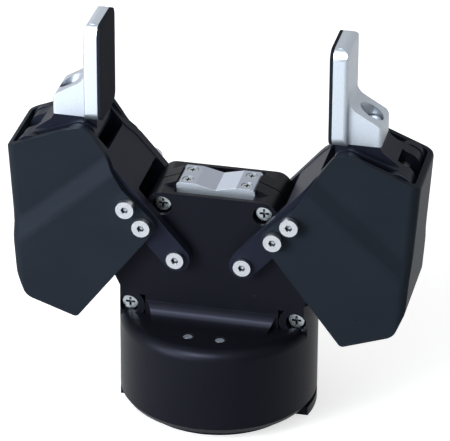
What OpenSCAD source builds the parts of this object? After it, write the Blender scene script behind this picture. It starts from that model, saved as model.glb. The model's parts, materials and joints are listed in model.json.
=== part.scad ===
// Electric two finger gripper with parallel four-bar fingers.
// Millimetres. +Z points to the fingertips, the fingers open along X, -Y is the front.
// The origin is the centre of the mounting face under the wrist coupling.
// The fingers are drawn fully open. Each right-hand piece is mirrored for the left hand.

/* [Grip] */
// Distance from the face of a pad to the upper pivot of the inner knuckle
pad_reach = 7.85; // [7:0.05:9]
// Gap left between the pads at the closing stop
closed_gap = 0.6; // [0.4:0.1:2]
// Width of the pad and of the finger plate
pad_w = 22; // [18:0.5:26]
// Height of the pad
pad_h = 38.6; // [32:0.1:45]
// Thickness of the rubber pad
pad_t = 1.3; // [1:0.1:2.5]
// Corner radius of the pad and of the finger plate
pad_corner_r = 4; // [2:0.5:6]

/* [Fingertip] */
// Thickness of the finger plate behind the pad
tip_plate_t = 5.4; // [4.4:0.1:7]
// Width of the foot behind the finger plate
tip_foot_w = 16; // [13:0.5:20]
// Length of the foot from the pad face to its outer end
tip_foot_l = 19.1; // [18:0.1:22]
// Diameter of the counterbore for the foot screw
tip_bore_d = 8.6; // [7.4:0.1:9.2]

/* [Linkage] */
// Distance of the inner knuckle pivots from the centre plane
inner_pivot_x = 12.7; // [12:0.1:14]
// Height of the inner knuckle pivots
inner_pivot_z = 65.9; // [64:0.1:68]
// Distance of the outer knuckle pivots from the centre plane
outer_pivot_x = 30.6; // [29:0.1:32]
// Height of the outer knuckle pivots
outer_pivot_z = 59.4; // [58:0.1:61]
// Distance between the two pivots of an inner knuckle
arm_l = 57.15; // [54:0.05:60]
// Slope of the arms above the horizontal when open
arm_angle = 48.8; // [46:0.1:52]
// Distance from the outer knuckle pivot to the elbow
crank_l = 31.75; // [30:0.05:34]
// Slope of the outer knuckle below the horizontal when open
crank_drop = 7.4; // [5:0.1:10]

/* [Inner knuckle] */
// Half width of the inner knuckle's side plates
knuckle_r = 5.2; // [4.6:0.1:6]
// Thickness of the side plates beside the body
knuckle_plate_t = 4; // [3:0.1:5]
// Thickness of the side plates beside the follower
knuckle_end_t = 3; // [2.4:0.1:3.6]
// Depth of the step in the side plates
joggle_depth = 3.3; // [2.5:0.1:4]
// Distance of the step from the lower pivot
joggle_s = 43.4; // [42:0.1:45]
// Length of each half of the step
joggle_run = 4.6; // [3:0.1:6]
// Thickness of the web between the side plates
web_t = 2.5; // [2:0.1:3]
// Distance from the lower pivot to the start of the web
web_start = 29; // [28:0.5:33]
// Distance from the lower pivot to the end of the web
web_end = 47; // [44:0.5:50]

/* [Cover] */
// Thickness of the cover's wall
cover_t = 2.3; // [1.6:0.1:2.8]
// Gap between the outer finger's end and the cover's outer wall
cover_gap = 0.76; // [0.5:0.02:3]
// Radius of the bends along the cover's outer wall
cover_bend_r = 4; // [3:0.5:6]

/* [Body] */
// Diameter of the base drum
drum_d = 75; // [75:0.5:80]
// Height of the ledge on top of the drum
ledge_z = 38.5; // [37:0.5:40]
// Radius of the drum's top edge
drum_edge_r = 4.5; // [2:0.5:6]
// Half thickness of the upper body
body_half_t = 13.2; // [12.5:0.1:14]
// Height of the top of the upper body
body_top_z = 90.5; // [89:0.1:92]
// Radius of the shoulders round the outer pivots
shoulder_r = 8.7; // [8.5:0.1:9.5]
// Height of the flared foot of the upper body above the ledge
flare_h = 5.8; // [4:0.1:7]

/* [Palm block] */
// Half width of the palm block
palm_half_w = 14.8; // [13:0.1:15]
// Half depth of the palm block
palm_half_d = 7.5; // [6.5:0.1:9]
// How far the palm block stands out of the body
palm_proud = 2; // [1:0.1:3]
// Depth of the valley across the palm block
palm_valley = 1.8; // [1:0.1:2.8]

/* [Coupling] */
// Width of the drum's rim outside the coupling's round flange
coupling_rim = 6; // [5.6:0.1:7]
// Thickness of the flange below the drum
coupling_t = 3.5; // [3:0.1:5]
// Distance of the mounting bolts from the flange's edge
bolt_edge = 6.5; // [6.5:0.1:7.5]
// Diameter of the mounting bolt holes
bolt_hole_d = 6.6; // [5.5:0.1:7]
// Diameter of the centring recess
spigot_d = 31.5; // [30:0.5:32]

/* [Drive] */
// Teeth of a full worm wheel, of which each outer knuckle carries a sector
wheel_teeth = 40; // [38:1:42]
// Pitch radius of the worm
worm_pitch_r = 5.6; // [5.4:0.1:5.8]
// Half thickness of the toothed sector
sector_half_t = 2.4; // [2:0.1:2.6]
// Diameter of the motor
motor_d = 42; // [36:1:50]
// Height of the motor
motor_h = 17; // [14:0.5:18]

/* [Pins and fits] */
// Diameter of the outer knuckle shafts
crank_shaft_d = 8; // [7:0.1:8.5]
// Diameter of the pins that carry the links
link_pin_d = 5; // [4:0.1:5.4]
// Radial clearance of a pin that turns in its bore
run_fit = 0.04; // [0.02:0.01:0.08]
// Radial clearance of a pin that sits fixed in its bore
seat_fit = 0.01; // [0.005:0.005:0.02]
// Radial clearance of the pin at the inner pivot of the follower
open_fit = 0.3; // [0.3:0.05:0.5]
// Side clearance between links that move past each other
side_gap = 0.4; // [0.3:0.05:0.6]
// Gap between the side plates of the inner knuckle and the body
body_gap = 0.5; // [0.4:0.05:0.8]

/* [Hidden] */
$fn = 48;

black = [0.09, 0.10, 0.13];
graphite = [0.17, 0.19, 0.23];
aluminium = [0.80, 0.81, 0.83];
steel = [0.70, 0.71, 0.73];
zinc = [0.78, 0.80, 0.76];
rubber = [0.15, 0.16, 0.20];
brass = [0.72, 0.60, 0.32];
board_green = [0.10, 0.33, 0.20];

// A cut runs past the solid by this much, and a long one by the reach.
past = 1;
reach = 200;
// Pieces of one solid run into each other by this much.
merge = 0.01;

// Points in the X-Z plane
function polar(r, a) = [r * cos(a), r * sin(a)];
inner_pivot = [inner_pivot_x, inner_pivot_z];
outer_pivot = [outer_pivot_x, outer_pivot_z];
arm_top = inner_pivot + polar(arm_l, arm_angle);
outer_top = outer_pivot + polar(arm_l, arm_angle);
elbow = outer_pivot + polar(crank_l, -crank_drop);

// Opening between the two pads with the gripper fully open
stroke = 2 * (arm_top[0] - pad_reach);

// Fingertip and pad
tip_x = stroke / 2 + pad_t;
foot_rise = 6.8;
foot_z = arm_top[1] + foot_rise;
pad_z0 = foot_z - 0.7;
tip_top_z = pad_z0 + pad_h;
tip_back_x = tip_x + tip_plate_t;
tip_back_r = 1.4;
tip_top_r = 3;
foot_end_x = stroke / 2 + tip_foot_l;
foot_h = 7.5;
foot_edge_r = 3.5;
foot_slope = 30.5;
foot_fillet_r = 6;
foot_corner_r = 1.2;
tip_screw_x = foot_end_x - tip_bore_d / 2 - 0.8;
tip_screw_d = 4;
tip_screw_head_h = 4;
tip_screw_head_d = 7;
tip_screw_socket_d = 3.4;
tip_seat_t = 3;
tip_thread = 7;

// The angle that brings each pad from half the stroke to half the closed gap
close_angle = acos(cos(arm_angle) - (stroke - closed_gap) / 2 / arm_l) - arm_angle;

drum_r = drum_d / 2;

// Layers along Y, as half thicknesses
knuckle_pin_in = 7;
pin_head_h = 1.9;
pin_head_gap = 0.1;
pin_sink = 0.05;
socket_d = 2.9;
socket_depth = 1.4;
bush_od = 11;
bush_l = 3.4;
crank_gap = 0.8;
knuckle_in = body_half_t + body_gap;
knuckle_out = knuckle_in + knuckle_plate_t;
cover_out = knuckle_out + cover_t;
end_out = knuckle_out - joggle_depth;
end_in = end_out - knuckle_end_t;
follower_half = end_in - side_gap;
cheek_in = follower_half + side_gap;
cheek_out = end_out - side_gap;
crank_half = 7.5;
crank_slot = crank_half + side_gap;
follower_fork_half = 5;

// Ends of the links
arm_end_r = 5.6;
follower_inner_r = 6;
follower_outer_r = 6;
cheek_r = 6.4;
elbow_r = 6.6;
crank_hub_r = 7.4;
crank_tip_r = 6.2;
elbow_boss_r = 6.5;
finger_web_t = 2.4;
finger_web_from = 9;
finger_window_edge = 4;
finger_window_h = 20;
finger_window_r = 1.5;

// Inner knuckle and cover
web_corner_r = 2.2;
// The round corners of the web run this far into the plates.
web_corner_dip = 0.3;
cover_screw_s = [18.3, 27.5];
cover_screw_d = 4;
cover_head_d = 6.8;
cover_head_h = 3.2;
cover_top = outer_top + [cheek_r + cover_gap + cover_t, 2.1];
cover_low = elbow + [11.9, -9.3];
cover_tip = elbow - [11.7, 17.7];
cover_way = atan2(cover_top[1] - cover_low[1], cover_top[0] - cover_low[0]);

// Upper body
body_top_r = 5.5;
upper_screw = [19.1, body_top_z - body_top_r];
lower_screw = [drum_r - 5.6, ledge_z + 3.1];
body_waist = [sqrt(drum_r * drum_r - body_half_t * body_half_t), ledge_z + 10.7];
ear_slope = 2.7;
ear_disc_r = 6.2;
ear_setback = 2.7;
ear_from_x = lower_screw[0] - ear_disc_r - 0.3;
ear_h = 8;
seam_depth = 0.5;
body_seam = 0.35;
flare_half_w = ear_from_x - 0.4;
flare_slope = 3.2;
flare_out = 6.4;
flare_slant = 2.8;
screw_d = 3;
screw_head_d = 5.9;
screw_well_d = 7.6;
screw_head_h = 2;
screw_sink = 2.6;
screw_thread = 8;
screw_end_gap = 1;
bore_gap = 0.35;

// Palm block, its pocket and the ridge that runs on from it over the shoulders
palm_h = 8.8;
palm_top_z = body_top_z + palm_proud;
palm_z0 = palm_top_z - palm_h;
palm_flat_x = 7.7;
palm_edge = 0.8;
palm_gap = 0.2;
palm_lip_t = 1.8;
palm_screw_x = 11.2;
palm_screw_y = 4;
palm_screw_d = 2;
palm_head_d = 4;
palm_head_h = 1.6;
palm_thread = 4;
pocket_z0 = palm_z0 - 4.7;
ridge_half_d = 6.5;

// Drum and coupling
drum_z0 = coupling_t;
coupling_d = drum_d - 2 * coupling_rim;
bolt_circle_d = coupling_d - 2 * bolt_edge;
coupling_nest = 4.4;
board_t = 1.6;
nest_gap = 0.2;
nest_step = 2.7;
nest_r = coupling_d / 2 + nest_gap;
cavity_r = nest_r - nest_step;
drum_top_t = 4.5;
lug_half_w = 9;
lug_screw_x = (nest_r + drum_r) / 2;
lug_thread = 7;
lug_head_d = 5;
drum_foot_r = 1.5;
drum_foot_h = 2.2;
spigot_h = 3;
spigot_wall = 4;
bolt_seat_d = 11;
ledge_pin_x = 6.1;
ledge_pin_y = 11.5 - drum_r;
ledge_pin_d = 4.2;
ledge_pin_depth = 3.4;
ledge_pin_dip = 0.3;
ledge_pin_edge = 0.5;

// Drive
sector_r = outer_pivot_x - worm_pitch_r;
tooth_pitch = 2 * PI * sector_r / wheel_teeth;
tooth_step = 360 / wheel_teeth;
worm_swing = tooth_pitch * 0.31;
sector_tip_r = sector_r + 0.18 * tooth_pitch;
sector_root_r = sector_r - 0.40 * tooth_pitch;
worm_turns = 4;
worm_z0 = outer_pivot_z - tooth_pitch * worm_turns / 2;
worm_z1 = outer_pivot_z + tooth_pitch * worm_turns / 2;
worm_bore_r = worm_pitch_r + worm_swing + 1;
// Half a tooth's width at its foot, its pitch line and its tip, as [radius, half width]
tooth_form = [[sector_root_r, 0.33 * tooth_pitch], [sector_r, 0.17 * tooth_pitch],
    [sector_tip_r, 0.10 * tooth_pitch]];
// A tooth stays this many degrees from the sector's ends
tooth_foot = 3.4;
sector_margin = 8.5;
sector_from = 180 - close_angle - sector_margin;
sector_to = 180 + sector_margin;
bearing_od = 12;
bearing_h = 5;
journal_d = 8;
journal_gap = 1;
low_bearing_z = worm_z0 - journal_gap - bearing_h;
high_bearing_z = worm_z1 + journal_gap;
motor_z1 = ledge_z - drum_top_t;
motor_z0 = motor_z1 - motor_h;
motor_shaft_d = 5;
motor_wall = 1.5;
rotor_gap = 1;
sector_gap = 1;
shaft_end_gap = 0.4;

// Corner of an outline rounded to a radius, as points
function unit(v) = v / norm(v);
function turned(v, a) = [v[0] * cos(a) - v[1] * sin(a), v[0] * sin(a) + v[1] * cos(a)];
function corner(a, b, c, r, steps) = r <= 0 ? [b] :
    let(u = unit(a - b), v = unit(c - b), half = acos(u * v) / 2)
    let(centre = b + unit(u + v) * r / sin(half), start = b + u * r / tan(half) - centre)
    let(turn = sign(cross(b - a, c - b)) * (180 - 2 * half))
    [for (i = [0 : steps]) centre + turned(start, turn * i / steps)];
// Outline through points [x, z, corner radius]
function rounded(path, steps = 8) = [for (i = [0 : len(path) - 1])
    let(n = len(path), a = path[(i + n - 1) % n], b = path[i], c = path[(i + 1) % n])
    each corner([a[0], a[1]], [b[0], b[1]], [c[0], c[1]], b[2], steps)];
// Arc from one angle to another
function arc(c, r, a0, a1, steps = 12) = [for (i = [0 : steps]) c + polar(r, a0 + (a1 - a0) * i / steps)];
// Outline of a link with a round end at each of two points
function link_outline(a, ra, b, rb) =
    let(way = atan2(b[1] - a[1], b[0] - a[0]), spread = acos((ra - rb) / norm(b - a)))
    concat(arc(a, ra, way + spread, way + 360 - spread, 20), arc(b, rb, way - spread, way + spread, 20));
// Point given by a distance along the arm and a distance across it, towards the centre plane
function on_arm(along, across = 0) = inner_pivot + polar(along, arm_angle) + polar(across, arm_angle + 90);
// Both halves of an outline given as its right half, from top to bottom
function both_halves(pts) = concat(pts, [for (i = [len(pts) - 1 : -1 : 0]) [-pts[i][0], pts[i][1]]]);

// Extrudes an X-Z outline from y0 to y1
module slab(y0, y1) {
    translate([0, y1, 0]) rotate([90, 0, 0]) linear_extrude(y1 - y0) children();
}
// The same, centred on the X-Z plane
module mid_slab(half) {
    slab(-half, half) children();
}
// One copy on the front face and one on the rear face
module both_faces() {
    children();
    mirror([0, 1, 0]) children();
}
module left_hand() {
    mirror([1, 0, 0]) children();
}
module both_hands() {
    children();
    left_hand() children();
}
// Round bar along Y through an X-Z point
module bar_y(at, d, y0, y1) {
    translate([at[0], y0, at[1]]) rotate([-90, 0, 0]) cylinder(h = y1 - y0, d = d);
}

// Coupling between the gripper and the robot's wrist
module wrist_coupling() {
    color(black) difference() {
        union() {
            cylinder(h = coupling_t + coupling_nest, d = coupling_d, $fn = 96);
            intersection() {
                cylinder(h = coupling_t, r = drum_r, $fn = 96);
                translate([-drum_d, -lug_half_w, 0]) cube([2 * drum_d, 2 * lug_half_w, coupling_t]);
            }
        }
        translate([0, 0, -past]) cylinder(h = spigot_h + past, d = spigot_d);
        cylinder(h = coupling_t + coupling_nest + past, d = spigot_d - 2 * spigot_wall);
        for (a = [45 : 90 : 315]) rotate(a) translate([bolt_circle_d / 2, 0, 0]) {
            translate([0, 0, -past]) cylinder(h = coupling_t + coupling_nest + 2 * past, d = bolt_hole_d);
            translate([0, 0, coupling_t]) cylinder(h = coupling_nest + past, d = bolt_seat_d);
        }
        both_hands() translate([lug_screw_x, 0, -past]) {
            cylinder(h = coupling_t + 2 * past, d = screw_d + 2 * bore_gap);
            cylinder(h = past + screw_head_h, d = lug_head_d + 2 * nest_gap);
        }
    }
}

// Screws that hold the coupling's lugs to the drum
module coupling_screws() {
    color(zinc) both_hands() translate([lug_screw_x, 0, 0]) {
        translate([0, 0, nest_gap]) cylinder(h = screw_head_h - nest_gap, d = lug_head_d);
        translate([0, 0, screw_head_h - merge])
            cylinder(h = coupling_t + lug_thread - screw_end_gap - screw_head_h + merge, d = screw_d);
    }
}

// Round base housing with its ledge and rounded rim, which stays square under the ears
module base_drum() {
    color(black) difference() {
        union() {
            rotate_extrude($fn = 128) polygon(concat(
                [[0, drum_z0], [drum_r - drum_foot_r, drum_z0], [drum_r, drum_z0 + drum_foot_h]],
                arc([drum_r - drum_edge_r, ledge_z - drum_edge_r], drum_edge_r, 0, 90, 10),
                [[0, ledge_z]]));
            both_hands() intersection() {
                translate([0, 0, drum_z0 + drum_foot_h + past])
                    cylinder(h = ledge_z - drum_z0 - drum_foot_h - past, r = drum_r, $fn = 128);
                translate([ear_from_x, ear_setback - body_half_t, drum_z0])
                    cube([drum_d, 2 * (body_half_t - ear_setback), ledge_z]);
            }
        }
        translate([0, 0, drum_z0 - past])
            cylinder(h = coupling_nest + board_t + past, r = nest_r, $fn = 96);
        cylinder(h = motor_z1, r = cavity_r, $fn = 96);
        translate([0, 0, motor_z1 - past]) cylinder(h = drum_top_t + 2 * past, r = worm_bore_r);
        sector_room();
        both_hands() translate([lug_screw_x, 0, drum_z0 - past])
            cylinder(h = past + lug_thread, d = screw_d + 2 * seat_fit);
        both_hands() translate([ledge_pin_x, ledge_pin_y, ledge_z - ledge_pin_depth])
            cylinder(h = ledge_pin_depth + past, d = ledge_pin_d + 2 * seat_fit);
    }
}

// Polished pins set in the ledge
module ledge_pins() {
    top = ledge_pin_depth - ledge_pin_dip;
    color(steel) both_hands() translate([ledge_pin_x, ledge_pin_y, ledge_z - ledge_pin_depth])
        rotate_extrude() polygon([[0, 0], [ledge_pin_d / 2, 0], [ledge_pin_d / 2, top - ledge_pin_edge],
            [ledge_pin_d / 2 - ledge_pin_edge, top], [0, top]]);
}

// Control board held between the coupling and the drum
module control_board() {
    color(board_green) translate([0, 0, coupling_t + coupling_nest]) difference() {
        cylinder(h = board_t, r = nest_r - nest_gap, $fn = 96);
        for (a = [45 : 90 : 315]) rotate(a) translate([bolt_circle_d / 2, 0, -past])
            cylinder(h = board_t + 2 * past, d = 5);
    }
}

// Motor housing under the drum's top wall
module motor_can() {
    color(steel) difference() {
        translate([0, 0, motor_z0]) cylinder(h = motor_h, d = motor_d, $fn = 72);
        translate([0, 0, motor_z0 + motor_wall])
            cylinder(h = motor_h - 2 * motor_wall, r = motor_d / 2 - motor_wall, $fn = 72);
        translate([0, 0, motor_z0 - past])
            cylinder(h = motor_h + 2 * past, d = motor_shaft_d + 2 * run_fit);
    }
}

// Rotor and its shaft
module motor_rotor() {
    inset = motor_wall + rotor_gap;
    color(steel) union() {
        translate([0, 0, motor_z0 + inset])
            cylinder(h = motor_h - 2 * inset, r = motor_d / 2 - inset, $fn = 72);
        translate([0, 0, motor_z0]) cylinder(h = low_bearing_z + bearing_h - motor_z0, d = motor_shaft_d);
    }
}

// Worm with a rounded thread, made by twisting a round section set off its axis
module worm_shaft() {
    color(steel) difference() {
        union() {
            translate([0, 0, worm_z0])
                linear_extrude(worm_z1 - worm_z0, twist = -360 * worm_turns, slices = 12 * worm_turns)
                translate([worm_phase * worm_swing, 0]) circle(r = worm_pitch_r, $fn = 18);
            translate([0, 0, low_bearing_z - journal_gap])
                cylinder(h = worm_z0 - low_bearing_z + journal_gap, d = journal_d);
            translate([0, 0, worm_z1]) cylinder(h = high_bearing_z + bearing_h - worm_z1, d = journal_d);
        }
        translate([0, 0, low_bearing_z - journal_gap - past])
            cylinder(h = bearing_h + journal_gap + past + shaft_end_gap, d = motor_shaft_d + 2 * seat_fit);
    }
}
// The thread's crest starts on -X, so that a tooth at the right pivot's height finds a groove.
worm_phase = worm_turns % 2 == 0 ? -1 : 1;

// Two bearings that carry the worm
module worm_bearings() {
    color(steel) for (z = [low_bearing_z, high_bearing_z]) translate([0, 0, z]) difference() {
        cylinder(h = bearing_h, d = bearing_od);
        translate([0, 0, -past]) cylinder(h = bearing_h + 2 * past, d = journal_d + 2 * run_fit);
    }
}

// Direction in which a line that touches two circles on their outer side meets both
function touch_angle(a, ra, b, rb) = atan2(b[1] - a[1], b[0] - a[0]) + acos((ra - rb) / norm(b - a));
// Right half of the body's outline, from the top centre to the ledge
function body_half(inset = 0) =
    let(touch = touch_angle(upper_screw, body_top_r, outer_pivot, shoulder_r))
    concat(
        [[0, body_top_z - inset]],
        arc(upper_screw, body_top_r - inset, 90, touch, 6),
        arc(outer_pivot, shoulder_r - inset, touch, -40),
        [body_waist - [inset, 0], [drum_r - inset, body_waist[1] - ear_slope], [drum_r - inset, ledge_z],
            [0, ledge_z]]);
// Right half of the ridge between the palm block and the shoulders
function ridge_half(inset = 0) = [
    [0, palm_top_z - inset], [palm_half_w + palm_gap, palm_top_z - inset],
    upper_screw + polar(body_top_r - 0.15 - inset, 64), upper_screw, [0, upper_screw[1]]];

// Solid form of the front half of the body, with its flared foot
module body_form() {
    intersection() {
        union() {
            slab(-body_half_t, 0) polygon(both_halves(body_half()));
            slab(-ridge_half_d, 0) polygon(both_halves(ridge_half()));
        }
        // Up to the waist the ears stay within the drum
        union() {
            translate([0, 0, ledge_z]) cylinder(h = body_waist[1] - ledge_z, r = drum_r, $fn = 128);
            translate([-reach / 2, -reach / 2, body_waist[1]]) cube(reach);
        }
    }
    // Flared foot
    intersection() {
        translate([-drum_r, 0, ledge_z]) rotate([90, 0, 90]) linear_extrude(drum_d)
            polygon([[-body_half_t, flare_h], [-body_half_t - flare_slope, flare_h - flare_slope],
                [-body_half_t - (flare_slope + flare_out) / 2, (flare_h - flare_slope) / 2 - 0.2],
                [-body_half_t - flare_out, 0], [-body_half_t + past, 0], [-body_half_t + past, flare_h]]);
        slab(-drum_r, 0) polygon(both_halves([[0, ledge_z + flare_h], [flare_half_w, ledge_z + flare_h],
            [flare_half_w - flare_slant, ledge_z], [0, ledge_z]]));
    }
}
// The ears stand back from the front face, except a round disc at the lower screw
module ear_cut() {
    both_hands() slab(-body_half_t - past, ear_setback - body_half_t) difference() {
        translate([ear_from_x, ledge_z - past]) square([drum_d, ear_h + past]);
        translate(lower_screw) circle(r = ear_disc_r);
    }
}

// Space that the toothed sectors swing through
module sector_room() {
    both_hands() mid_slab(sector_half_t + side_gap) polygon(concat([outer_pivot],
        arc(outer_pivot, sector_tip_r + sector_gap, sector_from - sector_gap * 4,
            sector_to + close_angle + sector_gap * 4, 24)));
}
// What the drive needs inside the body
module drive_room() {
    hub = crank_hub_r + crank_gap;
    low = -90 - crank_drop;
    high = 90 - crank_drop + close_angle;
    sector_room();
    // Slot for the crank, from its open to its closed place
    both_hands() mid_slab(crank_slot) polygon(concat(
        arc(outer_pivot, hub, high, 360 + low),
        [outer_pivot + polar(hub, low) + polar(reach, low + 90),
            outer_pivot + polar(hub, high) + polar(reach, high - 90)]));
    translate([0, 0, ledge_z - past]) cylinder(h = high_bearing_z - ledge_z + past, r = worm_bore_r);
    for (z = [low_bearing_z, high_bearing_z]) translate([0, 0, z])
        cylinder(h = bearing_h, d = bearing_od + 2 * seat_fit);
}

// Pocket round the palm block, deeper than the seat that carries it
module palm_pocket() {
    half_w = palm_half_w + palm_gap;
    half_d = body_half_t - palm_lip_t;
    difference() {
        translate([-half_w, -half_d, pocket_z0]) cube([2 * half_w, 2 * half_d, reach]);
        translate([-half_w - past, -palm_half_d, pocket_z0 - past])
            cube([2 * half_w + 2 * past, 2 * palm_half_d, palm_z0 - pocket_z0 + past]);
    }
}

// One half of the body, drawn as the front half
module housing_half() {
    difference() {
        body_form();
        ear_cut();
        drive_room();
        palm_pocket();
        // Narrow groove along the seam
        slab(-body_seam, past) difference() {
            translate([-reach, ledge_z + past]) square([2 * reach, reach]);
            polygon(both_halves(body_half(seam_depth)));
            polygon(both_halves(ridge_half(seam_depth)));
        }
        both_hands() {
            translate([palm_screw_x, -palm_screw_y, palm_z0 - palm_thread])
                cylinder(h = palm_thread + past, d = palm_screw_d + 2 * seat_fit);
            bar_y(inner_pivot, link_pin_d + 2 * seat_fit, -body_half_t - past, -knuckle_pin_in);
            bar_y(outer_pivot, bush_od + 2 * seat_fit, -crank_slot - bush_l, past);
        }
    }
}

module front_housing() {
    color(black) difference() {
        housing_half();
        both_hands() for (at = [upper_screw, lower_screw]) {
            bar_y(at, screw_d + 2 * bore_gap, -body_half_t - past, past);
            bar_y(at, screw_well_d, -body_half_t - past, -body_half_t + screw_sink + screw_head_h);
        }
    }
}

module rear_housing() {
    color(black) mirror([0, 1, 0]) difference() {
        housing_half();
        both_hands() for (at = [upper_screw, lower_screw])
            bar_y(at, screw_d + 2 * seat_fit, -screw_thread, past);
    }
}

// Pan head screws through the front housing into the rear housing
module housing_screws() {
    shank = body_half_t - screw_sink - screw_head_h + screw_thread - screw_end_gap;
    color(zinc) both_hands() for (at = [upper_screw, lower_screw])
        translate([at[0], -body_half_t + screw_sink, at[1]]) rotate([-90, 0, 0]) {
            difference() {
                cylinder(h = screw_head_h, d = screw_head_d);
                cross_slot(screw_head_d * 0.6, screw_head_h * 0.5);
            }
            translate([0, 0, screw_head_h - merge]) cylinder(h = shank, d = screw_d);
        }
}
// Crossed slot cut down from z = 0 into a screw's head, to a depth
module cross_slot(across, depth) {
    for (a = [0, 90]) rotate(a) cube([across, across / 4, 2 * depth], center = true);
}

// Aluminium block between the fingers, with a shallow valley across it
module palm_block() {
    color(aluminium) difference() {
        mid_slab(palm_half_d) polygon(both_halves([
            [0, palm_top_z - palm_valley], [palm_flat_x, palm_top_z], [palm_half_w - palm_edge, palm_top_z],
            [palm_half_w, palm_top_z - palm_edge], [palm_half_w, palm_z0], [0, palm_z0]]));
        for (x = [-1, 1], y = [-1, 1]) translate([x * palm_screw_x, y * palm_screw_y, palm_z0 - past]) {
            cylinder(h = palm_h + 2 * past, d = palm_screw_d + 2 * bore_gap);
            translate([0, 0, palm_h + past - palm_head_h])
                cylinder(h = palm_head_h + past, d = palm_head_d + 2 * palm_gap);
        }
    }
}

module palm_screws() {
    color(zinc) for (x = [-1, 1], y = [-1, 1])
        translate([x * palm_screw_x, y * palm_screw_y, palm_top_z - palm_gap]) difference() {
            union() {
                translate([0, 0, palm_gap - palm_head_h])
                    cylinder(h = palm_head_h - palm_gap, d = palm_head_d);
                translate([0, 0, palm_gap - palm_h - palm_thread])
                    cylinder(h = palm_h + palm_thread - palm_head_h + merge, d = palm_screw_d);
            }
            cross_slot(palm_head_d * 0.6, palm_head_h * 0.5);
        }
}

// Shouldered pins on which the inner knuckles turn, fixed in the body
module knuckle_pins() {
    color(steel) both_faces() both_hands() difference() {
        union() {
            bar_y(inner_pivot, link_pin_d, -knuckle_out - 0.05, -knuckle_pin_in);
            bar_y(inner_pivot, link_pin_d + 1.6, -knuckle_out - pin_head_h, -knuckle_out - pin_head_gap);
        }
        hex_socket(inner_pivot, -knuckle_out - pin_head_h);
    }
}
// Hexagon socket in a head that faces the front
module hex_socket(at, face_y) {
    translate([at[0], face_y - past, at[1]]) rotate([-90, 0, 0])
        cylinder(h = past + socket_depth, d = socket_d, $fn = 6);
}

// Plain bushes for the outer knuckle shafts
module crank_bushes() {
    color(brass) both_faces() both_hands() difference() {
        bar_y(outer_pivot, bush_od, -crank_slot - bush_l, -crank_slot);
        bar_y(outer_pivot, crank_shaft_d + 2 * run_fit, -crank_slot - bush_l - past, -crank_slot + past);
    }
}

// Outer knuckle: a crank with a toothed sector that the worm drives
module outer_knuckle(tooth_shift) {
    color(black) difference() {
        union() {
            mid_slab(crank_half) polygon(link_outline(outer_pivot, crank_hub_r, elbow, crank_tip_r));
            mid_slab(sector_half_t) polygon(sector_outline(tooth_shift));
            // Wide boss at the elbow
            bar_y(elbow, 2 * elbow_boss_r, -follower_half, follower_half);
        }
        bar_y(outer_pivot, crank_shaft_d + 2 * seat_fit, -reach, reach);
        bar_y(elbow, link_pin_d + 2 * seat_fit, -reach, reach);
    }
}
function tooth_side(way, order, side) = [for (i = order)
    outer_pivot + polar(tooth_form[i][0], way + side * asin(tooth_form[i][1] / tooth_form[i][0]))];
// Outline of the toothed sector, tooth by tooth, from the pivot and back
function sector_outline(tooth_shift) = concat(
    [outer_pivot, outer_pivot + polar(sector_root_r, sector_to)],
    [for (k = [-1 : 8]) let(way = 180 - (k + tooth_shift) * tooth_step)
        if (way > sector_from + tooth_foot && way < sector_to - tooth_foot)
            each concat(tooth_side(way, [0, 1, 2], 1), tooth_side(way, [2, 1, 0], -1))],
    [outer_pivot + polar(sector_root_r, sector_from)]);

module crank_shaft() {
    color(steel) bar_y(outer_pivot, crank_shaft_d, -crank_slot - bush_l + 0.1, crank_slot + bush_l - 0.1);
}

// Outer finger: two cheeks joined by a web with a rectangular window
module outer_finger() {
    cheek = link_outline(elbow, elbow_r, outer_top, cheek_r);
    color(black) difference() {
        union() {
            both_faces() slab(-cheek_out, -cheek_in) polygon(cheek);
            mid_slab(cheek_in + merge) finger_web();
        }
        bar_y(elbow, link_pin_d + 2 * run_fit, -reach, reach);
        bar_y(outer_top, link_pin_d + 2 * seat_fit, -reach, reach);
        translate([elbow[0], 0, elbow[1] + finger_web_from + finger_window_edge]) rotate([90, 0, 90])
            linear_extrude(reach) polygon(rounded([for (c = [[-1, 0], [1, 0], [1, 1], [-1, 1]])
                [c[0] * (cheek_in - finger_window_edge), c[1] * finger_window_h, finger_window_r]], 5));
    }
}
// Web along the outer edges of the cheeks, clear of the elbow boss and of the follower
module finger_web() {
    way = atan2(outer_top[1] - elbow[1], outer_top[0] - elbow[0]);
    length = norm(outer_top - elbow) - finger_web_from - follower_outer_r - side_gap;
    translate(elbow) rotate(way) translate([finger_web_from, -cheek_r + 0.2]) square([length, finger_web_t]);
}

module elbow_pin() {
    color(steel) link_pin(elbow, cheek_out);
}
module outer_pin() {
    color(steel) link_pin(outer_top, cheek_out);
}
module inner_pin() {
    color(steel) link_pin(arm_top, end_out);
}
// Straight pin flush with the outer faces of the plates that it joins
module link_pin(at, half) {
    bar_y(at, link_pin_d, -half + pin_sink, half - pin_sink);
}

// Stations of the step, as [distance along the arm from its middle, share of its depth]
joggle_form = [[-joggle_run, 0], [-0.4 * joggle_run, 0.14], [0.4 * joggle_run, 0.86], [joggle_run, 1]];
// Stepped surface of a side plate, as [distance along the arm, distance from the centre plane]
function joggled(y_low, y_high) = concat([[-reach / 2, y_low]],
    [for (f = joggle_form) [joggle_s + f[0], y_low + f[1] * (y_high - y_low)]], [[reach, y_high]]);
function reversed(pts) = [for (i = [len(pts) - 1 : -1 : 0]) pts[i]];
// Layer between two stepped surfaces, on the front face
module joggled_layer(in_low, in_high, out_low, out_high) {
    outline = concat(joggled(in_low, in_high), reversed(joggled(out_low, out_high)));
    translate([inner_pivot[0], 0, inner_pivot[1]]) rotate([0, -arm_angle, 0])
        translate([0, 0, -reach / 2]) linear_extrude(reach) polygon([for (p = outline) [p[0], -p[1]]]);
}

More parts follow.
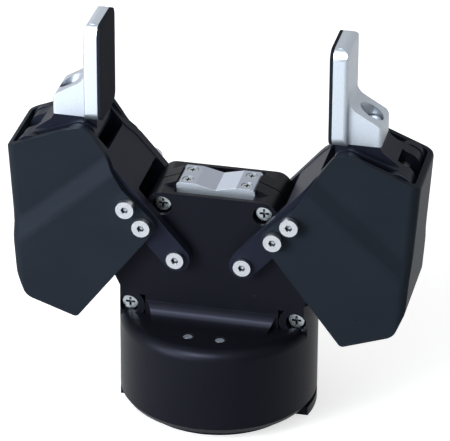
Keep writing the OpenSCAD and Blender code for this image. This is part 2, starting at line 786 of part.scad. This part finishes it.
// Inner knuckle: two stepped side plates joined by a web along their upper edges
module inner_knuckle() {
    color(black) difference() {
        union() {
            both_faces() intersection() {
                slab(-knuckle_out, -end_in) polygon(link_outline(inner_pivot, knuckle_r, arm_top, arm_end_r));
                joggled_layer(knuckle_in, end_in, knuckle_out, end_out);
            }
            intersection() {
                translate([inner_pivot[0], 0, inner_pivot[1]]) rotate([0, -arm_angle, 0])
                    translate([0, 0, knuckle_r - web_t]) linear_extrude(web_t) web_outline();
                union() {
                    mid_slab(end_in + merge) translate(inner_pivot) square(reach);
                    both_faces() joggled_layer(0, 0, knuckle_in + merge, end_in + merge);
                }
            }
        }
        both_faces() bar_y(inner_pivot, link_pin_d + 2 * run_fit, -knuckle_out - past, -knuckle_in + past);
        bar_y(arm_top, link_pin_d + 2 * seat_fit, -reach, reach);
        for (s = cover_screw_s) bar_y(on_arm(s), cover_screw_d + 2 * seat_fit, -reach, reach);
    }
}
// Outline of the web along and across the arm, with round corners where it meets the plates
module web_outline() {
    difference() {
        translate([web_start - web_corner_r, -knuckle_in - past])
            square([web_end - web_start + 2 * web_corner_r, 2 * (knuckle_in + past)]);
        opening(0, web_start, knuckle_in + web_corner_dip);
        opening(arm_l, web_end, end_in + web_corner_dip);
    }
}

module opening(from, to, half) {
    polygon(rounded([[from, -half, 0], [to, -half, web_corner_r], [to, half, web_corner_r],
        [from, half, 0]], 6));
}

// Outline of the cover in the X-Z plane, as [x, z, corner radius], round the link pivots
function cover_path() = [
    [cover_top[0], cover_top[1], 2],
    [arm_top[0] + 5.6, arm_top[1] + 4.4, 10], [arm_top[0] - 0.3, arm_top[1] + 6.1, 5],
    [arm_top[0] - 4.7, arm_top[1] + 5, 3], [arm_top[0] - 9.3, arm_top[1] - 1.7, 6],
    each [for (p = [on_arm(cover_screw_s[1] + 6.1, 3), on_arm(cover_screw_s[0] - 4.1, 4.6)])
        [p[0], p[1], 4.5]],
    [cover_tip[0], cover_tip[1], 2],
    [cover_low[0] - 4, cover_low[1] - 1.6, 6], [cover_low[0], cover_low[1] + 8, 8]];

// Everything inboard of the bend between the outer wall and a side wall on the front face. The side
// wall's half width is given at the step's middle, with its slope along the arm.
module bend_bar(half, slope, inset) {
    along = [cos(arm_angle), 0, sin(arm_angle)];
    at = cover_low + polar(inset, cover_way + 90);
    rise = cos(arm_angle) * (at[0] - inner_pivot[0]) + sin(arm_angle) * (at[1] - inner_pivot[1]) - joggle_s;
    corner_at = [at[0], -(half - inset - slope * rise), at[1]];
    u = [sin(cover_way), 0, -cos(cover_way)];
    side = unit(slope * along - [0, 1, 0]);
    d = unit(cross(u, side));
    v = cross(d, u);
    lean = [side * v, -(side * u)];
    wall = sign(v[1]) * reach;
    run = -sign(lean[0]) * lean * reach;
    multmatrix([for (i = [0 : 2]) [u[i], v[i], d[i], corner_at[i]]])
        linear_extrude(2 * reach, center = true)
        polygon(concat([[0, wall]], corner([0, wall], [0, 0], run, cover_bend_r - inset, 8),
            [run, [run[0], wall]]));
}
// Inboard side of the stepped front wall with its bend
module stepped_bar(inset) {
    slopes = [for (i = [0 : 2]) joggle_depth * (joggle_form[i + 1][1] - joggle_form[i][1])
        / (joggle_form[i + 1][0] - joggle_form[i][0])];
    halves = [for (i = [0 : 2]) cover_out - joggle_depth * joggle_form[i][1] + slopes[i] * joggle_form[i][0]];
    intersection() {
        bend_bar(cover_out, 0, inset);
        bend_bar(halves[0], slopes[0], inset);
        bend_bar(halves[1], slopes[1], inset);
    }
    intersection() {
        bend_bar(cover_out, 0, inset);
        bend_bar(halves[2], slopes[2], inset);
    }
    bend_bar(cover_out - joggle_depth, 0, inset);
}
// The cover's outer form, or its inside when inset by the wall
module cover_form(inset) {
    intersection() {
        mid_slab(cover_out + past) polygon(inset > 0 ? cover_room() : rounded(cover_path(), 8));
        stepped_bar(inset);
        mirror([0, 1, 0]) stepped_bar(inset);
    }
}
// Outline of the space inside the cover: open at the top, along the inner edge and below
function cover_room() =
    let(low = cover_low + polar(cover_t, cover_way + 90))
    [low + polar(reach, cover_way), low + polar(3, cover_way), cover_low + [-4, 0.5], cover_tip - [0, 30],
     [-reach, cover_tip[1] - 30], [-reach, reach]];

// Folded cover over the arms, screwed to the inner knuckle
module cover() {
    color(graphite) difference() {
        cover_form(0);
        cover_form(cover_t);
        for (s = cover_screw_s) bar_y(on_arm(s), cover_screw_d + 2 * bore_gap, -reach, reach);
    }
}

// Socket head screws through the cover into the inner knuckle
module cover_screws() {
    color(steel) both_faces() for (s = cover_screw_s) difference() {
        union() {
            bar_y(on_arm(s), cover_head_d, -cover_out - cover_head_h, -cover_out);
            bar_y(on_arm(s), cover_screw_d, -cover_out - merge, -knuckle_in - bore_gap);
        }
        hex_socket(on_arm(s), -cover_out - cover_head_h);
    }
}

// Inner finger: the follower that carries the fingertip and stays upright
module inner_finger() {
    seat_left = arm_top[0] - follower_inner_r + 0.4;
    color(black) difference() {
        union() {
            mid_slab(follower_half)
                polygon(link_outline(arm_top, follower_inner_r, outer_top, follower_outer_r));
            mid_slab(tip_foot_w / 2) polygon([
                [seat_left, arm_top[1]], [seat_left, foot_z], [foot_end_x - 0.5, foot_z],
                [foot_end_x + 0.6, foot_z - 2], [outer_top[0] + 1.4, outer_top[1] + follower_outer_r - 0.5],
                outer_top]);
        }
        bar_y(arm_top, link_pin_d + 2 * open_fit, -reach, reach);
        bar_y(outer_top, link_pin_d + 2 * run_fit, -reach, reach);
        translate([tip_screw_x, 0, foot_z - tip_thread])
            cylinder(h = tip_thread + past, d = tip_screw_d + 2 * seat_fit);
        // Step under the finger plate
        translate([seat_left - past, -follower_half, pad_z0 - palm_gap])
            cube([tip_back_x + bore_gap - seat_left + past, 2 * follower_half, reach]);
        // Fork at the outer end
        mid_slab(follower_fork_half) polygon(arc(outer_top, follower_outer_r + 1.5, 110, -110));
    }
}

// Aluminium fingertip: an upright plate that runs on into a sloping foot
module fingertip() {
    slope_z = foot_z + foot_h + (foot_end_x - tip_back_x) * tan(foot_slope);
    side = [
        [tip_x, pad_z0, 0], [tip_back_x, pad_z0, 0], [tip_back_x, foot_z, 0], [foot_end_x, foot_z, 0],
        [foot_end_x, foot_z + foot_h, foot_edge_r], [tip_back_x, slope_z, foot_fillet_r],
        [tip_back_x, tip_top_z, tip_top_r], [tip_x, tip_top_z, 0]];
    color(aluminium) difference() {
        intersection() {
            mid_slab(pad_w) polygon(rounded(side, 8));
            union() {
                // Plate with rounded corners and rounded rear edges
                intersection() {
                    translate([tip_x - past, 0, 0]) rotate([90, 0, 90])
                        linear_extrude(tip_plate_t + 2 * past) polygon(plate_outline());
                    linear_extrude(reach) polygon(rounded([[tip_x - past, -pad_w / 2, 0],
                        [tip_back_x, -pad_w / 2, tip_back_r], [tip_back_x, pad_w / 2, tip_back_r],
                        [tip_x - past, pad_w / 2, 0]], 6));
                }
                // Foot
                linear_extrude(reach) polygon(rounded([[tip_x + tip_back_r, -tip_foot_w / 2, 0],
                    [foot_end_x, -tip_foot_w / 2, foot_corner_r], [foot_end_x, tip_foot_w / 2, foot_corner_r],
                    [tip_x + tip_back_r, tip_foot_w / 2, 0]], 6));
            }
        }
        translate([tip_screw_x, 0, foot_z + tip_seat_t]) cylinder(h = reach, d = tip_bore_d);
        translate([tip_screw_x, 0, foot_z - past])
            cylinder(h = tip_seat_t + 2 * past, d = tip_screw_d + 2 * bore_gap);
    }
}
// Outline of the finger plate in the Y-Z plane
function plate_outline() = rounded([for (c = [[-1, pad_z0], [1, pad_z0], [1, tip_top_z], [-1, tip_top_z]])
    [c[0] * pad_w / 2, c[1], pad_corner_r]], 10);

module fingertip_screw() {
    color(steel) translate([tip_screw_x, 0, foot_z + tip_seat_t]) difference() {
        union() {
            cylinder(h = tip_screw_head_h, d = tip_screw_head_d);
            translate([0, 0, screw_end_gap - tip_seat_t - tip_thread])
                cylinder(h = tip_seat_t + tip_thread - screw_end_gap + merge, d = tip_screw_d);
        }
        translate([0, 0, tip_screw_head_h / 2])
            cylinder(h = tip_screw_head_h, d = tip_screw_socket_d, $fn = 6);
    }
}

// Rubber pad on the face of the fingertip
module finger_pad() {
    color(rubber) translate([stroke / 2, 0, 0]) rotate([90, 0, 90])
        linear_extrude(pad_t) polygon(plate_outline());
}

wrist_coupling();
coupling_screws();
base_drum();
control_board();
motor_can();
motor_rotor();
worm_shaft();
worm_bearings();
front_housing();
rear_housing();
housing_screws();
palm_block();
palm_screws();
ledge_pins();
knuckle_pins();
crank_bushes();
outer_knuckle(0);  // right_outer_knuckle
left_hand() outer_knuckle(0.5);  // left_outer_knuckle
crank_shaft();  // right_crank_shaft
left_hand() crank_shaft();  // left_crank_shaft
outer_finger();  // right_outer_finger
left_hand() outer_finger();  // left_outer_finger
elbow_pin();  // right_elbow_pin
left_hand() elbow_pin();  // left_elbow_pin
outer_pin();  // right_outer_pin
left_hand() outer_pin();  // left_outer_pin
inner_knuckle();  // right_inner_knuckle
left_hand() inner_knuckle();  // left_inner_knuckle
inner_pin();  // right_inner_pin
left_hand() inner_pin();  // left_inner_pin
cover();  // right_cover
left_hand() cover();  // left_cover
cover_screws();  // right_cover_screws
left_hand() cover_screws();  // left_cover_screws
inner_finger();  // right_inner_finger
left_hand() inner_finger();  // left_inner_finger
fingertip();  // right_fingertip
left_hand() fingertip();  // left_fingertip
fingertip_screw();  // right_fingertip_screw
left_hand() fingertip_screw();  // left_fingertip_screw
finger_pad();  // right_finger_pad
left_hand() finger_pad();  // left_finger_pad
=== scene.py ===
import json
import math

import bmesh
import bpy
from mathutils import Matrix, Vector


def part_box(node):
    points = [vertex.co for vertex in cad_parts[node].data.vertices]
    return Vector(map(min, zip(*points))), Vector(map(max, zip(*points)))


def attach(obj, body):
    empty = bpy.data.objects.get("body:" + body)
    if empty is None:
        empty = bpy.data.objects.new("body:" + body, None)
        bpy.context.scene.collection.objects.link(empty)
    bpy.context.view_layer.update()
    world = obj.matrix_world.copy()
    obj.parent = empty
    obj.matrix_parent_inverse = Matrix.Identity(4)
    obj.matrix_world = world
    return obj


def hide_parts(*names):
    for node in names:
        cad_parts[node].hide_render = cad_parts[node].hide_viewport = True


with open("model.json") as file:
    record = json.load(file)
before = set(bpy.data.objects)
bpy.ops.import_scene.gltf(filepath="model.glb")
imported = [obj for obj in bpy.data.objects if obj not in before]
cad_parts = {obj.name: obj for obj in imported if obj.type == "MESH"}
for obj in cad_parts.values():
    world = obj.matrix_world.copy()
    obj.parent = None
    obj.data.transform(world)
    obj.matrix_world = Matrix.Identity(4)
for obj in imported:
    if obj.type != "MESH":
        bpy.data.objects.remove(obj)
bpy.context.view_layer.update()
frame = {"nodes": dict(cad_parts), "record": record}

MM = 0.001


# ---------------------------------------------------------------- helpers


def linear(colour):
    """A linear RGBA colour from an sRGB hex value such as "#1d1e26"."""
    parts = [int(colour[i : i + 2], 16) / 255 for i in (1, 3, 5)]
    lit = [c / 12.92 if c <= 0.04045 else ((c + 0.055) / 1.055) ** 2.4 for c in parts]
    return lit + [1.0]


def add(tree, kind, links=None, **settings):
    """A new node of that kind. links fills its inputs, each by a value or another node's socket."""
    made = tree.nodes.new("ShaderNode" + kind)
    for key, value in settings.items():
        setattr(made, key, value)
    for key, value in (links or {}).items():
        if isinstance(value, bpy.types.NodeSocket):
            tree.links.new(value, made.inputs[key])
        else:
            made.inputs[key].default_value = value
    return made


def new_material(name):
    """An empty node material, with its tree and a Principled shader that reaches the output."""
    finish = bpy.data.materials.new(name)
    finish.use_nodes = True
    tree = finish.node_tree
    tree.nodes.clear()
    shader = add(tree, "BsdfPrincipled")
    add(tree, "OutputMaterial", {"Surface": shader.outputs["BSDF"]})
    return finish, tree, shader


# ---------------------------------------------------------------- finishes
#
# A Mix node of colours is filled by number: 0 is the factor, 6 and 7 are the two colours, and its
# colour leaves by output 2.


def anodised(name, dark, light, wear_and_highlight, rough, grain_mm, gloss, tint):
    """Hard anodised aluminium, bead blasted first and dyed in the bath. The film is clear oxide
    over dye, so the colour stays dark and even, and broad soft highlights lie on top of it. The
    film is thinnest on the edges, where handling has made it paler, and the pale colour there is
    also a painted highlight, the thin light line that a rounded edge catches."""
    cloud_mm, speck_mm, nick_apart_mm, nick_core_mm, nick_rim_mm = 22, 1.1, 11, 0.11, 0.385
    finish, tree, shader = new_material(name)
    place = add(tree, "TexCoord").outputs["Object"]
    # The dye takes a little unevenly over a few centimetres
    cloud = add(tree, "TexNoise", {"Vector": place, "Scale": 1 / (cloud_mm * MM), "Detail": 3.0})
    dye = add(
        tree,
        "Mix",
        {0: cloud.outputs["Fac"], 6: linear(dark), 7: linear(light)},
        data_type="RGBA",
    )
    # Specks of bare metal come through along the broken edges, drawn light enough to be a painted
    # highlight on them too
    speck = add(tree, "TexNoise", {"Vector": place, "Scale": 1 / (speck_mm * MM), "Detail": 3.0})
    edge = add(tree, "Attribute", attribute_name="broken_edge")
    edge_wear_and_highlight = add(
        tree, "Math", {0: edge.outputs["Fac"], 1: speck.outputs["Fac"]}, operation="MULTIPLY"
    )
    # A pinhead nick shows here and there, one or two to a face. A cell of the pattern is as wide as
    # the nicks are apart, and its distances are shares of that.
    spot = add(tree, "TexVoronoi", {"Vector": place, "Scale": 1 / (nick_apart_mm * MM)})
    nick = add(
        tree,
        "MapRange",
        {
            "Value": spot.outputs["Distance"],
            "From Min": nick_core_mm / nick_apart_mm,
            "From Max": nick_rim_mm / nick_apart_mm,
            "To Min": 0.3,
            "To Max": 0.0,
        },
    )
    pale = add(tree, "Math", {0: edge_wear_and_highlight.outputs[0], 1: nick.outputs["Result"]}, operation="MAXIMUM")
    # The edges and the nicks take the pale colour, which on the edges is painted highlight as well
    # as wear
    colour = add(
        tree, "Mix", {0: pale.outputs[0], 6: dye.outputs[2], 7: linear(wear_and_highlight)}, data_type="RGBA"
    )
    tree.links.new(colour.outputs[2], shader.inputs["Base Color"])
    # The blasted grain is some 0.1 mm in life, drawn coarser so that it shows
    grain = add(tree, "TexNoise", {"Vector": place, "Scale": 1 / (grain_mm * MM), "Detail": 2.0})
    spread = add(
        tree,
        "MapRange",
        {
            "Value": grain.outputs["Fac"],
            "From Min": 0.3,
            "From Max": 0.7,
            "To Min": rough - 0.04,
            "To Max": rough + 0.06,
        },
    )
    tree.links.new(spread.outputs["Result"], shader.inputs["Roughness"])
    relief = add(
        tree, "Bump", {"Height": grain.outputs["Fac"], "Strength": 0.25, "Distance": 0.02 * MM}
    )
    tree.links.new(relief.outputs["Normal"], shader.inputs["Normal"])
    # The dyed pores of the film swallow most of the light that its clear surface would give back
    shader.inputs["Specular IOR Level"].default_value = gloss
    shader.inputs["Specular Tint"].default_value = linear(tint)
    return finish


def bare_metal(name, dark, light, rough, vary, grain, relief_mm, recess_shade=None):
    """Bare metal whose grain is a stretched noise. grain is its size in mm along X, Y and Z: even
    for a blasted or plated surface, long one way for the lines of a cutter. The last argument, if
    given, is the colour of painted shade laid in recesses such as a screw's socket."""
    recess_mm = 1.6
    finish, tree, shader = new_material(name)
    place = add(tree, "TexCoord").outputs["Object"]
    lines = add(tree, "Mapping", {"Vector": place, "Scale": [1 / (size * MM) for size in grain]})
    streak = add(
        tree, "TexNoise", {"Vector": lines.outputs["Vector"], "Scale": 1.0, "Detail": 3.0}
    )
    colour = add(
        tree,
        "Mix",
        {0: streak.outputs["Fac"], 6: linear(dark), 7: linear(light)},
        data_type="RGBA",
    )
    if recess_shade:
        # Painted shade: where less than half of the air above a point is open, it is drawn as dark
        # as the shade colour
        shelter = add(tree, "AmbientOcclusion", {"Distance": recess_mm * MM}, samples=12)
        unshaded = add(
            tree, "MapRange", {"Value": shelter.outputs["AO"], "From Min": 0.45, "From Max": 0.9}
        )
        colour = add(
            tree,
            "Mix",
            {0: unshaded.outputs["Result"], 6: linear(recess_shade), 7: colour.outputs[2]},
            data_type="RGBA",
        )
    tree.links.new(colour.outputs[2], shader.inputs["Base Color"])
    spread = add(
        tree,
        "MapRange",
        {"Value": streak.outputs["Fac"], "To Min": rough - vary, "To Max": rough + vary},
    )
    tree.links.new(spread.outputs["Result"], shader.inputs["Roughness"])
    relief = add(
        tree,
        "Bump",
        {"Height": streak.outputs["Fac"], "Strength": 0.2, "Distance": relief_mm * MM},
    )
    tree.links.new(relief.outputs["Normal"], shader.inputs["Normal"])
    shader.inputs["Metallic"].default_value = 1.0
    return finish


def moulded_rubber(name, dark, light):
    """Moulded nitrile rubber: matt slate grey with the fine pits of a sparked mould."""
    cloud_mm, pit_mm = 9, 0.5
    finish, tree, shader = new_material(name)
    place = add(tree, "TexCoord").outputs["Object"]
    cloud = add(tree, "TexNoise", {"Vector": place, "Scale": 1 / (cloud_mm * MM), "Detail": 4.0})
    tone = add(
        tree,
        "Mix",
        {0: cloud.outputs["Fac"], 6: linear(dark), 7: linear(light)},
        data_type="RGBA",
    )
    tree.links.new(tone.outputs[2], shader.inputs["Base Color"])
    # Sparked pits are about 0.1 mm, drawn coarser so that they show
    pits = add(tree, "TexVoronoi", {"Vector": place, "Scale": 1 / (pit_mm * MM)})
    relief = add(
        tree, "Bump", {"Height": pits.outputs["Distance"], "Strength": 0.3, "Distance": 0.03 * MM}
    )
    tree.links.new(relief.outputs["Normal"], shader.inputs["Normal"])
    shader.inputs["Roughness"].default_value = 0.72
    # Filled rubber scatters at its surface and gives back little of a mirror image
    shader.inputs["Specular IOR Level"].default_value = 0.02
    return finish


# Deep black with a satin sheen that rolls round the drum's rim and along the body's hollow foot
BODY_BLACK = anodised(
    "hard_anodised_black", "#0d0e14", "#13141a", "#5c5f6a", 0.40, 0.45, 0.07, "#d8dcff"
)
# The arms are drawn bluer than the body and a touch lighter, as a painted reflection of bluish
# surroundings
ARM_BLACK = anodised(
    "hard_anodised_arms", "#181b26", "#1f222d", "#5c5f6a", 0.42, 0.45, 0.06, "#c8d4ff"
)
# Rolled sheet is the lightest of the blacks, slate blue and almost without sheen
COVER_BLACK = anodised(
    "anodised_sheet_blue_black", "#1e232a", "#252b32", "#646873", 0.42, 0.5, 0.02, "#c8d4ff"
)
# Glass beads leave a frosty, even silver. Their dimples are some 0.05 mm, drawn coarser to show.
BLASTED = bare_metal(
    "bead_blasted_aluminium", "#8e969f", "#adb3bb", 0.47, 0.06, (0.5, 0.5, 0.5), 0.02
)
# The cutter leaves fine lines from front to back, so that each facet shines its own grey
MILLED = bare_metal(
    "milled_aluminium", "#8a909c", "#9aa0ac", 0.34, 0.05, (0.12, 5, 0.12), 0.015
)
# Ground heads are the brightest metal here, white on their faces, with painted shade black down in
# their sockets
STEEL = bare_metal(
    "ground_stainless", "#a2a6ac", "#b6b9be", 0.30, 0.06, (0.6, 0.6, 0.6), 0.01, "#202126"
)
# Zinc plate is mottled, greyer than the steel, with painted shade dark in its crosses
ZINC = bare_metal(
    "zinc_plated_steel", "#8f989f", "#adb3b6", 0.27, 0.1, (1.2, 1.2, 1.2), 0.01, "#1b1d22"
)
# Sintered bronze is a dull brownish gold, open grained
BRONZE = bare_metal("sintered_bronze", "#8f6b3e", "#a98550", 0.42, 0.06, (0.4, 0.4, 0.4), 0.02)
# Solder mask is a clear lacquer over its dye too, green and glossy
BOARD = anodised(
    "green_solder_mask", "#0c3a22", "#12482b", "#12482b", 0.35, 0.8, 0.5, "#ffffff"
)
RUBBER = moulded_rubber("nitrile_rubber_slate", "#1c1f26", "#252830")


# ---------------------------------------------------------------- the CAD parts

FINISH_OF = {
    "black_anodised": BODY_BLACK,
    "dark_cover": COVER_BLACK,
    "bare_aluminium": BLASTED,
    "stainless": STEEL,
    "zinc_steel": ZINC,
    "bronze": BRONZE,
    "circuit_board": BOARD,
    "pad_rubber": RUBBER,
}

SLOT_OF = {row["node"]: row["material_slot"] for row in frame["record"]["subparts"]}
BODIES = frame["record"]["behaviour"]["bodies"]
BODY_OF = {node: body for body, nodes in BODIES.items() for node in nodes}


def finish_of(node):
    """The palm block is milled, the ledge's pins are plain aluminium and the arms have their own
    bluer black, a painted reflection. Every other part takes the finish of its slot."""
    if node == "palm_block":
        return MILLED
    if node == "ledge_pins":
        return BLASTED
    if node.endswith(("inner_knuckle", "outer_finger", "inner_finger")):
        return ARM_BLACK
    return FINISH_OF[SLOT_OF[node]]


for node in SLOT_OF:
    part = frame["nodes"][node]
    part.data.materials.clear()
    part.data.materials.append(finish_of(node))


# ---------------------------------------------------------------- broken edges

# An edge that turns by more than this is broken
SHARP_FROM = math.radians(28)
# Faces that meet at less than this shade as one curve. The palm's facets meet in clean lines,
# though at a small angle.
CRISP_FROM = math.radians(32)
CRISP_FROM_ON_PALM = math.radians(8)
# A face of the palm block whose normal rises less than this is upright
UPRIGHT = 0.6

# The foot of each half of the body sweeps out to the drum's ledge in one hollow curve. Its sizes in
# mm are those of the solid: its height, the face that it leaves, half its length, and the ledge and
# the reach from the solid's own box.
FLARED = ("front_housing", "rear_housing")
FLARE_HIGH, FLARE_FROM, FLARE_HALF_LONG = 5.8, 13.2, 27
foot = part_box("front_housing")[0]
LEDGE = foot.z / MM
FLARE_OUT = -foot.y / MM - FLARE_FROM
FLARE_STEPS = 9
# What lies nearer to an edge of the flare than this is on the edge, and only faces that reach this
# far past the face that it leaves are cut
ON_EDGE, PAST_FACE = 0.02, 0.05


def merged_copy(node):
    """A bmesh of a CAD part's surface with its loose triangles joined into plain faces."""
    shape = bmesh.new()
    shape.from_mesh(frame["nodes"][node].data)
    bmesh.ops.remove_doubles(shape, verts=shape.verts, dist=0.001 * MM)
    bmesh.ops.dissolve_limit(
        shape, angle_limit=math.radians(0.5), verts=shape.verts, edges=shape.edges
    )
    return shape


def hollow_flare(shape):
    """Cuts the flat flare into level strips and lays their edges on a curve that meets both faces
    softly."""
    for step in range(1, FLARE_STEPS):
        level = LEDGE + FLARE_HIGH * (1 - math.cos(math.pi / 2 * step / FLARE_STEPS))
        reach = (FLARE_FROM + PAST_FACE) * MM
        near = [face for face in shape.faces if max(abs(v.co.y) for v in face.verts) > reach]
        edges = {edge for face in near for edge in face.edges}
        corners = {vert for face in near for vert in face.verts}
        bmesh.ops.bisect_plane(
            shape,
            geom=near + list(edges) + list(corners),
            plane_co=(0, 0, level * MM),
            plane_no=(0, 0, 1),
            dist=0.0001 * MM,
        )
    for vert in shape.verts:
        along = abs(vert.co.x) / MM
        out = abs(vert.co.y) / MM - FLARE_FROM
        rise = vert.co.z / MM - LEDGE
        between = ON_EDGE < rise < FLARE_HIGH - ON_EDGE and ON_EDGE < out < FLARE_OUT
        if between and along < FLARE_HALF_LONG:
            sweep = FLARE_OUT * (1 - math.sqrt(1 - (1 - rise / FLARE_HIGH) ** 2))
            vert.co.y = math.copysign((FLARE_FROM + sweep) * MM, vert.co.y)


def turns_by(edge):
    """The angle between an edge's two faces, or a half turn where it has no pair of them."""
    return edge.calc_face_angle(0) if len(edge.link_faces) == 2 else math.pi


def break_edges(node, edge_mm):
    """Stands a copy of a CAD part in its place, with its sharp edges broken by that width, as a
    deburred part's are. The attribute broken_edge marks the new faces for the finish."""
    shape = merged_copy(node)
    mark = shape.faces.layers.float.new("broken_edge")
    if node in FLARED:
        hollow_flare(shape)
    made = bmesh.ops.bevel(
        shape,
        geom=[e for e in shape.edges if len(e.link_faces) == 2 and turns_by(e) > SHARP_FROM],
        offset=edge_mm * MM,
        segments=2,
        profile=0.5,
        affect="EDGES",
        material=-1,
        clamp_overlap=True,
    )
    for face in made["faces"]:
        face[mark] = 1.0
    for face in shape.faces:
        face.smooth = True
    for edge in shape.edges:
        edge.smooth = turns_by(edge) < (CRISP_FROM_ON_PALM if node == "palm_block" else CRISP_FROM)
    mesh = bpy.data.meshes.new(node + "_deburred")
    shape.to_mesh(mesh)
    mesh.materials.append(finish_of(node))
    if node == "palm_block":
        # The cutter takes only its top, and the upright faces keep the blasted skin
        mesh.materials.append(BLASTED)
        for face in mesh.polygons:
            face.material_index = int(abs(face.normal.z) < UPRIGHT)
    piece = bpy.data.objects.new(node + "_deburred", mesh)
    bpy.context.scene.collection.objects.link(piece)
    even = piece.modifiers.new("even_shading", "WEIGHTED_NORMAL")
    even.keep_sharp = True
    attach(piece, BODY_OF[node])
    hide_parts(node)


BODY_EDGES_MM = {"base_drum": 0.3, "front_housing": 0.25, "rear_housing": 0.25, "palm_block": 0.15}
FINGER_EDGES_MM = {
    "cover": 0.3,
    "inner_knuckle": 0.3,
    "outer_finger": 0.2,
    "inner_finger": 0.2,
    "fingertip": 0.25,
    "finger_pad": 0.15,
}
for node, edge_mm in BODY_EDGES_MM.items():
    break_edges(node, edge_mm)
for hand in ("right_", "left_"):
    for node, edge_mm in FINGER_EDGES_MM.items():
        break_edges(hand + node, edge_mm)


# ---------------------------------------------------------------- camera
#
# It looks down on the gripper's front from a little to the right, with a long lens from 1.3 m off.

AZIMUTH = math.radians(12.694)
ELEVATION = math.radians(27.502)
ROLL = math.radians(0.282)
DISTANCE = 1.300
AIM = Vector((0, 0, 0.0845))

back = Vector(
    (
        math.sin(AZIMUTH) * math.cos(ELEVATION),
        -math.cos(AZIMUTH) * math.cos(ELEVATION),
        math.sin(ELEVATION),
    )
)
right = Vector((math.cos(AZIMUTH), math.sin(AZIMUTH), 0))
up = back.cross(right)
turn = Matrix((right, up, back)).transposed() @ Matrix.Rotation(ROLL, 3, "Z")
camera = bpy.data.objects.new("camera", bpy.data.cameras.new("camera"))
bpy.context.scene.collection.objects.link(camera)
camera.matrix_world = Matrix.Translation(AIM + back * DISTANCE) @ turn.to_4x4()
camera.data.sensor_width = 36
camera.data.lens = 279.9
camera.data.shift_x = 0.0113
camera.data.shift_y = -0.0537
camera.data.clip_start = 0.05
camera.data.clip_end = 20
bpy.context.scene.camera = camera


# ---------------------------------------------------------------- floor and light

# A grey just under white, so that the light on the floor doesn't clip before the shadow shows
PAPER = "#e8e8e8"
# What lifts the lit floor to white where it is seen
FLOOR_GLOW = 0.64
FLOOR_RADIUS = 3
# The room's even light on the object, and the white behind it
ROOM_LIGHT, BACKDROP = 0.45, 1.0
# Daylight tubes, a little on the blue side
LAMP_COLOUR = (0.92, 0.96, 1.0)


def soft_lamp(name, place, size, power, lights_all=True):
    """A square soft box of that size in metres and power in watts, facing the gripper. One that
    does not light all is a card that only shows as a sheen on the metal and the anodised film."""
    lamp = bpy.data.lights.new(name, "AREA")
    lamp.shape = "SQUARE"
    lamp.size = size
    lamp.energy = power
    lamp.color = LAMP_COLOUR
    holder = bpy.data.objects.new(name, lamp)
    bpy.context.scene.collection.objects.link(holder)
    holder.visible_camera = False
    holder.visible_diffuse = lights_all
    facing = (AIM - Vector(place)).to_track_quat("-Z", "Y").to_matrix().to_4x4()
    holder.matrix_world = Matrix.Translation(place) @ facing


def white_where_seen(tree):
    """1 for the rays of the camera, gloss and glass, which meet plain white, and 0 for the rest."""
    rays = add(tree, "LightPath").outputs
    seen = add(
        tree, "Math", {0: rays["Is Camera Ray"], 1: rays["Is Glossy Ray"]}, operation="MAXIMUM"
    )
    seen = add(
        tree, "Math", {0: seen.outputs[0], 1: rays["Is Transmission Ray"]}, operation="MAXIMUM"
    )
    return seen.outputs[0]


floor_shape = bmesh.new()
bmesh.ops.create_circle(floor_shape, cap_ends=True, segments=64, radius=FLOOR_RADIUS)
floor_mesh = bpy.data.meshes.new("floor")
floor_shape.to_mesh(floor_mesh)
floor = bpy.data.objects.new("floor", floor_mesh)
bpy.context.scene.collection.objects.link(floor)

floor_finish = bpy.data.materials.new("white_studio_sweep")
floor_finish.use_nodes = True
tree = floor_finish.node_tree
tree.nodes.clear()
paper = add(tree, "BsdfDiffuse", {"Color": linear(PAPER)})
glow = add(tree, "Emission", {"Color": linear("#ffffff"), "Strength": FLOOR_GLOW})
both = add(tree, "AddShader", {0: paper.outputs[0], 1: glow.outputs[0]})
pick = add(
    tree, "MixShader", {0: white_where_seen(tree), 1: paper.outputs[0], 2: both.outputs[0]}
)
add(tree, "OutputMaterial", {"Surface": pick.outputs[0]})
floor_mesh.materials.append(floor_finish)

world = bpy.data.worlds.new("studio")
bpy.context.scene.world = world
world.use_nodes = True
tree = world.node_tree
tree.nodes.clear()
room = add(tree, "Background", {"Color": linear("#ffffff"), "Strength": ROOM_LIGHT})
backdrop = add(tree, "Background", {"Color": linear("#ffffff"), "Strength": BACKDROP})
pick = add(
    tree, "MixShader", {0: white_where_seen(tree), 1: room.outputs[0], 2: backdrop.outputs[0]}
)
add(tree, "OutputWorld", {"Surface": pick.outputs[0]})

soft_lamp("key", (-0.95, -0.85, 0.55), size=0.5, power=11.5)
soft_lamp("low_front", (-0.5, -0.6, 0.2), size=0.5, power=3.5)
soft_lamp("high_card", (-0.35, -1.0, 1.1), size=0.5, power=64, lights_all=False)
soft_lamp("low_card", (-0.4, -0.48, 0.15), size=0.4, power=4.8, lights_all=False)
soft_lamp("back_card", (-0.52, 1.15, 0.52), size=0.3, power=0.5, lights_all=False)

bpy.context.scene.view_settings.view_transform = "Standard"
